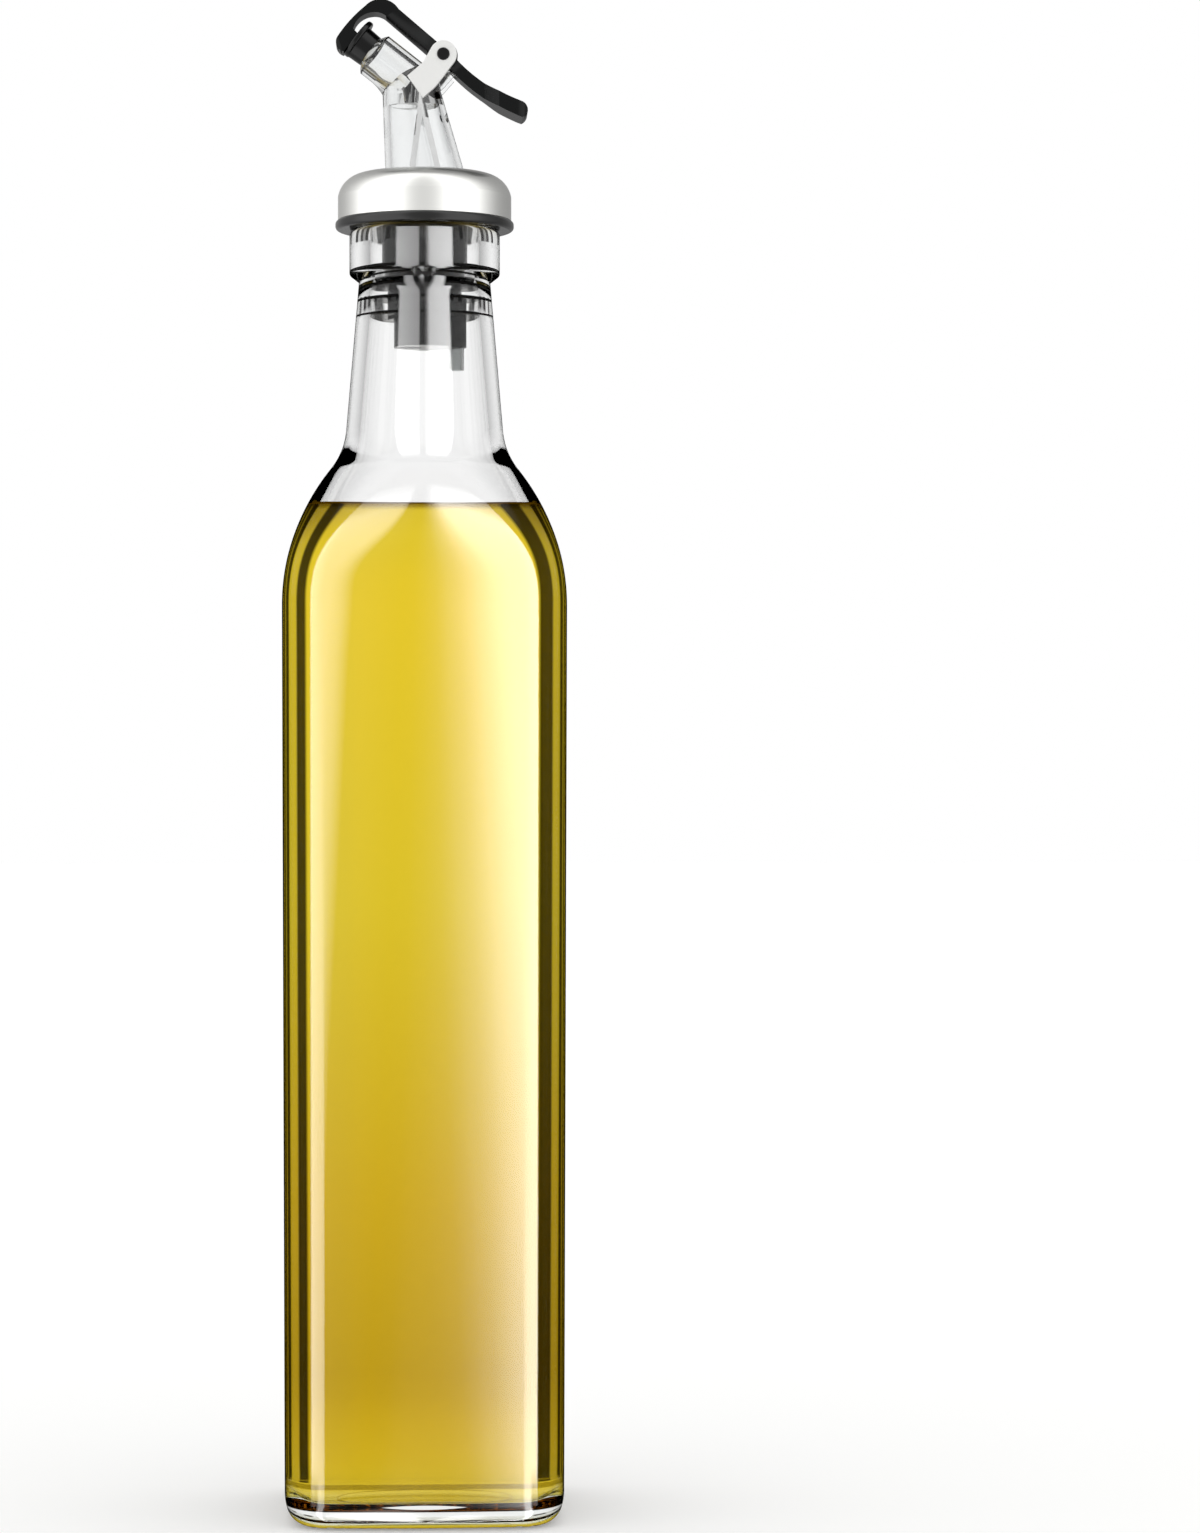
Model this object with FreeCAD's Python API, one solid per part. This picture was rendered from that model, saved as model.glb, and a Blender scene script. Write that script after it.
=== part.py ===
"""Half-litre oil and vinegar bottle: square clear glass, filled with oil, closed by a lever pourer.

Millimetres. The origin is the middle of the base on the surface the bottle stands on, +Z is up,
the pouring nozzle points to -X and the thumb end of the lever to +X.
"""
import FreeCAD, Part
import math
import os

V = FreeCAD.Vector
UP = V(0, 0, 1)
ORIGIN = V(0, 0, 0)

# How far a cutting tool runs past the face it opens, and how far joined pieces reach into each other.
OVERRUN = 2.0
JOIN = 0.5

# Glass body: a square with rounded corners and slightly bowed sides, a little wider at its shoulder.
GLASS_HEIGHT = 266.4
SHOULDER_HALF = 29.6
BODY_DRAFT = 0.6
CORNER_R = 9.0
SIDE_BOW_R = 250.0
HEEL_R = 5.0
WALL = 2.85
FLOOR = 5.0
INNER_HEEL_R = 5.4

# Shoulder: a convex arc from the body, then a concave arc into the slightly conical neck.
NECK_HEIGHT = 78.4
SHOULDER_R = 46.0
NECK_FILLET_R = 15.0
NECK_TOP_WALL = 2.29
NECK_TAPER = 0.0862
SHOULDER_SECTIONS = 13

# Finish: the thick collar round the mouth, with a plain bore.
MOUTH_R = 11.4
COLLAR_WALL = 4.26
COLLAR_HEIGHT = 9.4
COLLAR_SLOPE = 1.4
COLLAR_EDGE_R = 0.9

# Underside: a bearing ring with a knurled outer edge round a shallow dome.
RING_INSET = 5.1
RING_WIDTH = 6.0
RING_DEPTH = 0.6
DOME_RISE = 1.4
KNURL_PITCH = 2.7
KNURL_R = 0.55
KNURL_LENGTH = 2.4

# Oil, to a level above the start of the shoulder.
OIL_ABOVE_SHOULDER = 20.0
OIL_GAP = 0.1

# Pourer stopper: head under the metal cap, flange on the glass, core in steps with fins.
# Each step of the core is how far it stays clear of the glass's bore, then its length.
STOPPER_GAP = 0.1
FLANGE_OVERHANG = 2.94
FLANGE_THICK = 2.1
FLANGE_EDGE_R = 0.84
HEAD_GAP = 0.1
CORE_STEPS = [(2.5, 9.2), (3.7, 9.7), (5.0, 5.6)]
FIN_COUNT = 4
FIN_PITCH = 3.3
FIN_THICK = 0.8
LOWEST_FIN_ABOVE_END = 6.1
VENT_INSET = 4.8
VENT_TUBE_R = 1.65
VENT_TUBE_BORE_R = 1.0
VENT_TUBE_BELOW = 4.7
VENT_TUBE_GRIP = 9.0
VENT_BOSS_WALL = 0.5
TUBE_GAP = 0.02
POUR_BORE_R = 2.5
POUR_BORE_WALL = 0.7

# Brushed metal cap over the stopper's head. Each normal is how a point of the section moves with the sheet.
CAP_STEP = 0.53
CAP_HEIGHT = 10.5
CAP_SHEET = 0.7
CAP_SIDE = 4.9
CAP_TURN = (1.5, 3.0)
CAP_TURN_NORMAL = (0.7, 0.7)
CAP_SHELF = (4.4, 4.6)
CAP_SHELF_NORMAL = (0.3, 1.0)
CAP_HOLE_GAP = 0.12
# A shallow dome has three quarters of its rise at half its radius.
DOME_AT_HALF = 0.75

# Clear spout: an oblique cone that stands in the stopper and bends into the slanted nozzle.
SPOUT_R = 8.2
SPOUT_WALL = 1.4
SPOUT_FOOT = 1.6
ELBOW_X = -2.7
ELBOW_ABOVE_CAP = 16.5
ELBOW_R = 6.1
BEND_R = 14.5
NOZZLE_ANGLE = 38.0
NOZZLE_R = 4.85
NOZZLE_BORE_R = 3.3
NOZZLE_LENGTH = 10.8
NOZZLE_RISE = 1.6
NOZZLE_DOME_R = 7.2
NOZZLE_DOME_RUN = 4.0
PASSAGE_R = 2.8
PASSAGE_SHIFT = 1.7
PASSAGE_LENGTH = 11.8
DIVIDER = 1.15
DIVIDER_APEX_X = -0.75
DIVIDER_APEX_BELOW_ELBOW = 2.6
DIVIDER_SPREAD = (2.2, 2.6)
AIR_HOLE_R = 0.8
AIR_HOLE_BELOW_APEX = 3.0

# Lever pivot: a pin through two white ears, which lie on flats at the spout's sides.
# The outlines are (x, z) from the pivot, and the pivot is placed from the elbow.
PIVOT_FROM_ELBOW = (6.56, 7.0)
PIN_R = 1.3
PIN_PROUD = 0.35
PIN_EDGE_R = 0.28
PIN_FIT = 0.02
HUB_FIT = 0.06
EAR_INNER = 4.2
EAR_THICK = 1.8
EAR_TOP_R = 2.8
EAR_LEFT = [(-7.46, -4.6), (-4.16, -1.75)]
EAR_RIGHT = [(-1.76, -6.9), (-4.3, -9.2)]
SIDE_GAP = 0.3
RIB_THICK = 0.9
RIB_LOW = [(-4.4, -8.2), (-0.46, -7.3), (0.0, -6.9), (2.29, -4.3)]
RIB_HIGH = [(1.34, -3.35), (-1.4, -3.7), (-4.4, -4.4)]

# Lever: a straight arm to a hook over the nozzle, and a curved tail for the thumb.
# The arm's end and the hook are (x, z) from the nozzle's mouth, the tail is from the pivot.
HUB_R = 3.0
ARM_THICK = 2.85
ARM_END = (4.865, 7.435)
ARM_LOW_RUN = 1.0
HOOK_OUTER = [(2.21, 10.55), (-1.09, 9.15), (-4.39, 6.0), (-6.83, 2.85), (-7.09, 0.85)]
HOOK_INNER = [(-3.63, 4.35), (-2.13, 6.75), (0.27, 7.75), (1.77, 7.7)]
HOOK_PAD_TO = 1.0
HOOK_PAD_FROM = -3.8
TAIL_TOP = [(2.7, -0.6), (8.0, -5.2), (16.5, -9.6)]
TAIL_TIP = (17.6, -11.2)
TAIL_BOTTOM = [(16.4, -12.9), (8.2, -8.6), (1.7, -3.1)]
TAIL_ROOT = 8.6
TAIL_FLARE = 3.0
TAIL_HALF = 5.2
TAIL_CORNER_R = 2.8

# Silicone plug, held by the hook and resting on the nozzle's domed end.
PLUG_R = 3.4
PLUG_TOP_R = 3.7
PLUG_LENGTH = 3.0
PLUG_FLANGE_R = 4.4
PLUG_FLANGE = 1.2
PLUG_FLANGE_OFFSET = 0.5
PLUG_EDGE_R = 0.42
PLUG_GAP = 0.15

# Heights, radii and points that follow from the sizes above.
BASE_HALF = SHOULDER_HALF - BODY_DRAFT
RING_HALF = BASE_HALF - RING_INSET
SHOULDER_Z = GLASS_HEIGHT - NECK_HEIGHT
OIL_LEVEL = SHOULDER_Z + OIL_ABOVE_SHOULDER
NECK_TOP_R = MOUTH_R + NECK_TOP_WALL
COLLAR_R = MOUTH_R + COLLAR_WALL
COLLAR_LOW_Z = GLASS_HEIGHT - COLLAR_HEIGHT
NECK_TOP_Z = COLLAR_LOW_Z - COLLAR_SLOPE
FLANGE_R = COLLAR_R + FLANGE_OVERHANG
CAP_R = FLANGE_R - CAP_STEP
FLANGE_TOP = GLASS_HEIGHT + FLANGE_THICK
CAP_TOP = FLANGE_TOP + CAP_HEIGHT
WELL_FLOOR = FLANGE_TOP + SPOUT_FOOT
STOPPER_END = GLASS_HEIGHT - sum(length for _, length in CORE_STEPS)
VENT_X = MOUTH_R - VENT_INSET
POUR_BORE_X = POUR_BORE_R + POUR_BORE_WALL + CORE_STEPS[-1][0] - MOUTH_R
ELBOW = V(ELBOW_X, 0, CAP_TOP + ELBOW_ABOVE_CAP)
APEX = V(DIVIDER_APEX_X, 0, ELBOW.z - DIVIDER_APEX_BELOW_ELBOW)
PIVOT = ELBOW + V(PIVOT_FROM_ELBOW[0], 0, PIVOT_FROM_ELBOW[1])
NOZZLE_DIR = V(-math.cos(math.radians(NOZZLE_ANGLE)), 0, math.sin(math.radians(NOZZLE_ANGLE)))
NOZZLE_SIDE = V(NOZZLE_DIR.z, 0, -NOZZLE_DIR.x)
NOZZLE_ROOT = ELBOW + UP * NOZZLE_RISE
MOUTH = NOZZLE_ROOT + NOZZLE_DIR * NOZZLE_LENGTH
MOUTH_DOME = MOUTH - NOZZLE_DIR * math.sqrt(NOZZLE_DOME_R ** 2 - PLUG_R ** 2)


def shoulder_profile():
    """Centre and tangent heights of the concave arc that joins the shoulder's arc to the neck's line."""
    norm = math.hypot(1, NECK_TAPER)
    centre_r = SHOULDER_HALF - SHOULDER_R
    foot_r = NECK_TOP_R + NECK_FILLET_R / norm
    foot_z = NECK_TOP_Z + NECK_FILLET_R * NECK_TAPER / norm
    run_r = -NECK_TAPER / norm
    run_z = 1 / norm
    off_r = foot_r - centre_r
    off_z = foot_z - SHOULDER_Z
    along = off_r * run_r + off_z * run_z
    across = off_r ** 2 + off_z ** 2 - (SHOULDER_R + NECK_FILLET_R) ** 2
    step = -along + math.sqrt(along ** 2 - across)
    fillet_r = foot_r + step * run_r
    fillet_z = foot_z + step * run_z
    share = SHOULDER_R / (SHOULDER_R + NECK_FILLET_R)
    start_z = SHOULDER_Z + share * (fillet_z - SHOULDER_Z)
    end_z = fillet_z - NECK_FILLET_R * NECK_TAPER / norm
    return fillet_r, fillet_z, start_z, end_z


FILLET_CENTRE_R, FILLET_CENTRE_Z, FILLET_START_Z, FILLET_END_Z = shoulder_profile()


def half_width(z):
    """Half the outer width of the glass at height z, heel left out."""
    if z <= SHOULDER_Z:
        return BASE_HALF + (SHOULDER_HALF - BASE_HALF) * z / SHOULDER_Z
    if z <= FILLET_START_Z:
        return SHOULDER_HALF - SHOULDER_R + math.sqrt(SHOULDER_R ** 2 - (z - SHOULDER_Z) ** 2)
    if z <= FILLET_END_Z:
        return FILLET_CENTRE_R - math.sqrt(NECK_FILLET_R ** 2 - (z - FILLET_CENTRE_Z) ** 2)
    return NECK_TOP_R + NECK_TAPER * (NECK_TOP_Z - z)


def roundness(z):
    """0 where the section is the body's rounded square, 1 where it is the neck's circle."""
    share = min(max((z - SHOULDER_Z) / (FILLET_END_Z - SHOULDER_Z), 0), 1)
    return (share * share * (3 - 2 * share)) ** 2


def section(z, inset=0.0):
    """The glass's closed outline at height z, moved in by inset: four bowed sides and four corner arcs."""
    outer = half_width(z)
    half = outer - inset
    bend = roundness(z)
    corner = CORNER_R + (outer - CORNER_R) * bend - inset
    if bend >= 1:
        corner_centre = 0.0
        split = math.radians(22.5)
        touch_x = half * math.cos(split)
        touch_y = half * math.sin(split)
        corner = half
    else:
        side = 1 / ((1 - bend) / SIDE_BOW_R + bend / outer) - inset
        shift = half - side
        gap = side - corner
        corner_centre = (shift + math.sqrt(2 * gap ** 2 - shift ** 2)) / 2
        touch_x = shift + side * (corner_centre - shift) / gap
        touch_y = side * corner_centre / gap
    diagonal = corner_centre + corner / math.sqrt(2)
    spots = [(touch_x, -touch_y), (half, 0), (touch_x, touch_y), (diagonal, diagonal), (touch_y, touch_x)]
    edges = []
    for turn in range(4):
        spin = FreeCAD.Rotation(UP, 90 * turn)
        start, middle, end, tip, next_start = [spin.multVec(V(x, y, z)) for x, y in spots]
        edges.append(Part.Arc(start, middle, end).toShape())
        edges.append(Part.Arc(end, tip, next_start).toShape())
    return Part.Wire(edges)


def glass_form(bottom, top, inset=0.0):
    """Solid inside the glass's outer surface, moved in by inset, from bottom to top."""
    pieces = []
    if bottom < SHOULDER_Z:
        ends = (bottom, min(top, SHOULDER_Z))
        pieces.append(Part.makeLoft([section(z, inset) for z in ends], True, True))
    if top > SHOULDER_Z:
        rise = min(top, FILLET_END_Z) - SHOULDER_Z
        count = max(4, round(SHOULDER_SECTIONS * rise / (FILLET_END_Z - SHOULDER_Z)))
        heights = [SHOULDER_Z + rise * i / (count - 1) for i in range(count)]
        pieces.append(Part.makeLoft([section(z, inset) for z in heights], True, False))
    if top > FILLET_END_Z:
        low_r = half_width(FILLET_END_Z) - inset
        top_r = half_width(top) - inset
        pieces.append(turned([(0, FILLET_END_Z), (low_r, FILLET_END_Z), (top_r, top), (0, top)]))
    return joined(pieces)


def joined(pieces):
    """One solid from touching or overlapping pieces."""
    solid = pieces[0]
    for piece in pieces[1:]:
        solid = solid.fuse(piece)
    return solid.removeSplitter()


def line_chain(points):
    """Straight edges that close a loop through the points."""
    return [Part.LineSegment(a, b).toShape() for a, b in zip(points, points[1:] + points[:1])]


def revolved(edges):
    """Solid of revolution about Z from edges that close a loop in the XZ plane."""
    return Part.Face(Part.Wire(edges)).revolve(ORIGIN, UP, 360)


def turned(profile):
    """Solid of revolution about Z from (radius, height) points."""
    return revolved(line_chain([V(r, 0, z) for r, z in profile]))


def rod(radius, low, high, x=0.0):
    """Upright cylinder between two heights."""
    return Part.makeCylinder(radius, high - low, V(x, 0, low), UP)


def slab(edges, half_y, middle_y=0.0):
    """Plate from edges that close a loop in the XZ plane, half_y thick each way about middle_y."""
    face = Part.Face(Part.Wire(edges))
    plate = face.extrude(V(0, 2 * half_y, 0))
    plate.translate(V(0, middle_y - half_y, 0))
    return plate


def from_pivot(point):
    """A point given as (x, z) from the lever's pivot."""
    return PIVOT + V(point[0], 0, point[1])


def from_mouth(point):
    """A point given as (x, z) from the middle of the nozzle's mouth."""
    return MOUTH + V(point[0], 0, point[1])


def on_nozzle(along, across):
    """A point in the XZ plane, along the nozzle's axis from its mouth and across it, upwards positive."""
    return MOUTH + NOZZLE_DIR * along + NOZZLE_SIDE * across


def round_edges(solid):
    """Circular edges of a solid."""
    return [e for e in solid.Edges if isinstance(e.Curve, Part.Circle)]


def bottom_edges(solid, height):
    """Edges that lie wholly at one height."""
    return [e for e in solid.Edges if all(abs(v.Z - height) < 1e-6 for v in e.Vertexes)]


def ring_stations(half, radius, pitch):
    """Evenly spaced points round a rounded square, each with the angle of its outward normal."""
    flat = 2 * (half - radius)
    quarter = flat + radius * math.pi / 2
    count = round(quarter / pitch)
    for turn in range(4):
        spin = FreeCAD.Rotation(UP, 90 * turn)
        for i in range(count):
            run = (i + 0.5) * quarter / count - flat / 2
            if run < flat / 2:
                spot = V(half, run, 0)
                angle = 0.0
            else:
                angle = (run - flat / 2) / radius
                lean = V(math.cos(angle), math.sin(angle), 0)
                spot = V(half - radius, half - radius, 0) + lean * radius
            yield spin.multVec(spot), math.degrees(angle) + 90 * turn


def knurls():
    """Small round notches across the outer edge of the bearing ring."""
    notches = []
    for spot, angle in ring_stations(RING_HALF, CORNER_R - (BASE_HALF - RING_HALF), KNURL_PITCH):
        outward = V(math.cos(math.radians(angle)), math.sin(math.radians(angle)), 0)
        start = spot - outward * (KNURL_LENGTH / 2)
        notches.append(Part.makeCylinder(KNURL_R, KNURL_LENGTH, start, outward))
    return Part.makeCompound(notches)


def glass_collar():
    """Collar of the finish, with a sloped underside and eased edges."""
    ring = turned([(MOUTH_R - JOIN, NECK_TOP_Z), (NECK_TOP_R - JOIN, NECK_TOP_Z), (COLLAR_R, COLLAR_LOW_Z),
                   (COLLAR_R, GLASS_HEIGHT), (MOUTH_R - JOIN, GLASS_HEIGHT)])
    eased = [e for e in round_edges(ring) if abs(e.Curve.Radius - COLLAR_R) < 1e-6]
    return ring.makeFillet(COLLAR_EDGE_R, eased)


def make_glass():
    """Bottle shell: outer form and collar, less the cavity, the mouth, the underside's dome and knurls."""
    body = Part.makeLoft([section(0), section(SHOULDER_Z)], True, True)
    body = body.makeFillet(HEEL_R, bottom_edges(body, 0))
    outer = joined([body, glass_form(SHOULDER_Z, GLASS_HEIGHT - JOIN), glass_collar()])
    bore_z = NECK_TOP_Z + (NECK_TOP_WALL - WALL) / NECK_TAPER
    shell = outer.cut(make_cavity(bore_z)).cut(rod(MOUTH_R, bore_z - OVERRUN, GLASS_HEIGHT + OVERRUN))
    inner_half = RING_HALF - RING_WIDTH
    recess = rod(inner_half, -OVERRUN, RING_DEPTH)
    dome_r = (inner_half ** 2 + DOME_RISE ** 2) / (2 * DOME_RISE)
    dome = Part.makeSphere(dome_r, V(0, 0, RING_DEPTH + DOME_RISE - dome_r))
    dome = dome.common(rod(inner_half, RING_DEPTH - JOIN, RING_DEPTH + DOME_RISE + OVERRUN))
    return shell.cut(recess).cut(dome).cut(knurls())


def make_cavity(top, gap=0.0):
    """Space inside the glass from its floor to top, drawn in by gap.

    The round of its heel stays smaller than the round of its corners.
    """
    inset = WALL + gap
    low = FLOOR + gap
    base = Part.makeLoft([section(low, inset), section(min(top, SHOULDER_Z), inset)], True, True)
    heel_r = min(INNER_HEEL_R - gap, CORNER_R - inset - JOIN)
    base = base.makeFillet(heel_r, bottom_edges(base, low))
    return joined([base, glass_form(SHOULDER_Z, top, inset)])


def make_oil():
    """The oil, up to its level and a hair clear of the glass."""
    return make_cavity(OIL_LEVEL, OIL_GAP)


def cap_profile(inset):
    """Edges of the cap's outer surface, moved in by inset: side, turned shoulder, gently domed top."""
    side_z = FLANGE_TOP + CAP_SIDE
    top = CAP_TOP - inset
    low = V(CAP_R - inset, 0, FLANGE_TOP)
    side_end = V(CAP_R - inset, 0, side_z)
    turn, shelf = [
        V(CAP_R - spot[0] - inset * normal[0], 0, side_z + spot[1] - inset * normal[1])
        for spot, normal in ((CAP_TURN, CAP_TURN_NORMAL), (CAP_SHELF, CAP_SHELF_NORMAL))
    ]
    halfway = V(shelf.x / 2, 0, shelf.z + (top - shelf.z) * DOME_AT_HALF)
    centre = V(0, 0, top)
    axis_low = V(0, 0, FLANGE_TOP)
    return [
        Part.LineSegment(low, side_end).toShape(),
        Part.Arc(side_end, turn, shelf).toShape(),
        Part.Arc(shelf, halfway, centre).toShape(),
        Part.LineSegment(centre, axis_low).toShape(),
        Part.LineSegment(axis_low, low).toShape(),
    ]


def make_cap():
    """Pressed metal cap with a hole for the spout."""
    shell = revolved(cap_profile(0)).cut(revolved(cap_profile(CAP_SHEET)))
    return shell.cut(rod(SPOUT_R + CAP_HOLE_GAP, FLANGE_TOP, CAP_TOP + OVERRUN))


def make_stopper():
    """Stopper with head, flange, stepped core, fins, vent boss, pour bore and the spout's well."""
    head = revolved(cap_profile(CAP_SHEET + HEAD_GAP))
    flange = rod(FLANGE_R, GLASS_HEIGHT, FLANGE_TOP)
    flange = flange.makeFillet(FLANGE_EDGE_R, round_edges(flange))
    pieces = [head, flange]
    low = GLASS_HEIGHT
    for clear, length in CORE_STEPS:
        pieces.append(rod(MOUTH_R - clear, low - length, low + JOIN))
        low -= length
    for i in range(FIN_COUNT):
        fin_z = STOPPER_END + LOWEST_FIN_ABOVE_END + i * FIN_PITCH
        pieces.append(rod(MOUTH_R - STOPPER_GAP, fin_z, fin_z + FIN_THICK))
    boss_r = VENT_TUBE_R + VENT_BOSS_WALL
    pieces.append(rod(boss_r, STOPPER_END, STOPPER_END + VENT_TUBE_GRIP + JOIN, VENT_X))
    solid = joined(pieces)
    solid = solid.cut(rod(SPOUT_R + STOPPER_GAP, WELL_FLOOR, CAP_TOP + OVERRUN))
    low = STOPPER_END - OVERRUN
    solid = solid.cut(rod(POUR_BORE_R, low, WELL_FLOOR + OVERRUN, POUR_BORE_X))
    solid = solid.cut(rod(VENT_TUBE_BORE_R, low, WELL_FLOOR + OVERRUN, VENT_X))
    return solid.cut(rod(VENT_TUBE_R + TUBE_GAP, low, STOPPER_END + VENT_TUBE_GRIP, VENT_X))


def make_vent_tube():
    """Clear tube pressed into the stopper, hanging into the neck."""
    low = STOPPER_END - VENT_TUBE_BELOW
    high = STOPPER_END + VENT_TUBE_GRIP
    bore = rod(VENT_TUBE_BORE_R, low - OVERRUN, high + OVERRUN, VENT_X)
    return rod(VENT_TUBE_R, low, high, VENT_X).cut(bore)


def oblique_cone(inset, low, high):
    """Tower of the spout between two heights, moved in by inset, leaning towards the elbow."""
    share = (high - CAP_TOP) / (ELBOW.z - CAP_TOP)
    radius = SPOUT_R + (ELBOW_R - SPOUT_R) * share
    foot = Part.Wire(Part.makeCircle(SPOUT_R - inset, V(0, 0, CAP_TOP)))
    head = Part.Wire(Part.makeCircle(radius - inset, V(ELBOW.x * share, 0, high)))
    return joined([rod(SPOUT_R - inset, low, CAP_TOP), Part.makeLoft([foot, head], True, True)])


def divider_wall(foot_x):
    """Plate from the dividers' apex down to foot_x at the cap's top, carried on to the spout's foot."""
    half = V(DIVIDER / 2, 0, 0)
    foot = V(foot_x, 0, CAP_TOP)
    end = V(foot_x, 0, WELL_FLOOR)
    outline = [APEX - half, APEX + half, foot + half, end + half, end - half, foot - half]
    return slab(line_chain(outline), SPOUT_R)


def spout_hollows():
    """Compartments on both sides of the dividers and between them, pour passage, bore and air hole."""
    top = APEX.z - DIVIDER / 2
    inside = oblique_cone(SPOUT_WALL, WELL_FLOOR, top)
    left, right = DIVIDER_SPREAD
    inside = inside.cut(divider_wall(APEX.x - left + DIVIDER / 2))
    inside = inside.cut(divider_wall(APEX.x + right + DIVIDER / 2))
    passage_top = NOZZLE_ROOT.z + JOIN
    passage = rod(PASSAGE_R, passage_top - PASSAGE_LENGTH, passage_top, ELBOW.x - PASSAGE_SHIFT)
    bore = Part.makeCylinder(NOZZLE_BORE_R, NOZZLE_LENGTH + OVERRUN, NOZZLE_ROOT, NOZZLE_DIR)
    air_hole_start = V(ELBOW_R / 2, 0, APEX.z - AIR_HOLE_BELOW_APEX)
    air_hole = Part.makeCylinder(AIR_HOLE_R, SPOUT_R, air_hole_start, V(1, 0, 0))
    return [inside, passage, bore, air_hole]


def ear_outline():
    """Edges of an ear: a strap from the spout's side up to a round end about the pivot."""
    left = [from_pivot(p) for p in EAR_LEFT]
    right = [from_pivot(p) for p in EAR_RIGHT]
    left_touch = tangent_point(left[-1], 1)
    right_touch = tangent_point(right[0], -1)
    crown = PIVOT + ((left_touch + right_touch) * 0.5 - PIVOT).normalize() * -EAR_TOP_R
    if (crown - left[0]).Length < (PIVOT - left[0]).Length:
        crown = PIVOT * 2 - crown
    chain = left + [left_touch]
    edges = [Part.LineSegment(a, b).toShape() for a, b in zip(chain, chain[1:])]
    edges.append(Part.Arc(left_touch, crown, right_touch).toShape())
    chain = [right_touch] + right + [left[0]]
    return edges + [Part.LineSegment(a, b).toShape() for a, b in zip(chain, chain[1:])]


def tangent_point(point, side):
    """Where a line from point touches the ear's round end, on the side given by the sign."""
    away = point - PIVOT
    base = math.atan2(away.z, away.x)
    spread = math.acos(EAR_TOP_R / away.Length)
    angle = base - side * spread
    return PIVOT + V(math.cos(angle), 0, math.sin(angle)) * EAR_TOP_R


def spout_bend():
    """Round bend that eases the tower's lower side into the nozzle's."""
    turn = 90 - NOZZLE_ANGLE
    start = NOZZLE_ROOT - UP * (BEND_R * math.tan(math.radians(turn / 2)))
    disc = Part.Face(Part.Wire(Part.makeCircle(NOZZLE_R, start, UP)))
    return disc.revolve(start - V(BEND_R, 0, 0), V(0, -1, 0), turn)


def make_spout():
    """Clear spout with its nozzle, ribs under the pivot, flats for the ears and its hollows."""
    tower = oblique_cone(0, WELL_FLOOR, ELBOW.z)
    elbow = Part.makeSphere(ELBOW_R, ELBOW)
    nozzle = Part.makeCylinder(NOZZLE_R, NOZZLE_LENGTH + OVERRUN, NOZZLE_ROOT, NOZZLE_DIR)
    nozzle = nozzle.common(joined([
        Part.makeSphere(NOZZLE_DOME_R, MOUTH_DOME),
        Part.makeCylinder(NOZZLE_R + OVERRUN, NOZZLE_LENGTH - NOZZLE_DOME_RUN, NOZZLE_ROOT, NOZZLE_DIR),
    ]))
    rib_edges = line_chain([from_pivot(p) for p in RIB_LOW + RIB_HIGH])
    ribs = [slab(rib_edges, RIB_THICK / 2, side * (EAR_INNER - RIB_THICK / 2)) for side in (-1, 1)]
    solid = joined([tower, elbow, spout_bend(), nozzle] + ribs)
    for side in (-1, 1):
        solid = solid.cut(slab(ear_outline(), ELBOW_R / 2, side * (EAR_INNER + ELBOW_R / 2)))
    for hollow in spout_hollows():
        solid = solid.cut(hollow)
    return solid


def make_ear(side):
    """White ear on the side of the spout given by the sign."""
    plate = slab(ear_outline(), EAR_THICK / 2, side * (EAR_INNER + EAR_THICK / 2))
    return plate.cut(pivot_cylinder(PIN_R + PIN_FIT, EAR_INNER + EAR_THICK + OVERRUN))


def pivot_cylinder(radius, half_length):
    """Cylinder on the pivot's axis."""
    return Part.makeCylinder(radius, 2 * half_length, PIVOT - V(0, half_length, 0), V(0, 1, 0))


def make_pin():
    """Pivot pin with eased ends that stand just proud of the ears."""
    pin = pivot_cylinder(PIN_R, EAR_INNER + EAR_THICK + PIN_PROUD)
    return pin.makeFillet(PIN_EDGE_R, round_edges(pin))


def arc_through(points):
    """Arc through three points."""
    return Part.Arc(*points).toShape()


def lever_outline():
    """Edges of the lever's side view: arm, hook with its pad for the plug, and tail."""
    arm_end = from_mouth(ARM_END)
    arm = (arm_end - PIVOT).normalize()
    half = V(arm.z, 0, -arm.x) * (ARM_THICK / 2)
    arm_low = arm_end + arm * ARM_LOW_RUN - half
    outer = [from_mouth(p) for p in HOOK_OUTER]
    inner = [from_mouth(p) for p in HOOK_INNER]
    pad_z = PLUG_LENGTH + PLUG_FLANGE
    pad_low = on_nozzle(pad_z, HOOK_PAD_FROM)
    pad_high = on_nozzle(pad_z, HOOK_PAD_TO)
    tail_top = [from_pivot(p) for p in TAIL_TOP]
    tail_bottom = [from_pivot(p) for p in TAIL_BOTTOM]
    return [
        arc_through([arm_end + half, outer[0], outer[1]]),
        arc_through([outer[1], outer[2], outer[3]]),
        arc_through([outer[3], outer[4], pad_low]),
        Part.LineSegment(pad_low, pad_high).toShape(),
        Part.LineSegment(pad_high, inner[0]).toShape(),
        arc_through([inner[0], inner[1], inner[2]]),
        arc_through([inner[2], inner[3], arm_low]),
        Part.LineSegment(arm_low, PIVOT - half).toShape(),
        Part.LineSegment(PIVOT - half, tail_bottom[2]).toShape(),
        arc_through([tail_bottom[2], tail_bottom[1], tail_bottom[0]]),
        arc_through([tail_bottom[0], from_pivot(TAIL_TIP), tail_top[2]]),
        arc_through([tail_top[2], tail_top[1], tail_top[0]]),
        Part.LineSegment(tail_top[0], PIVOT + half).toShape(),
        Part.LineSegment(PIVOT + half, arm_end + half).toShape(),
    ]


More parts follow.
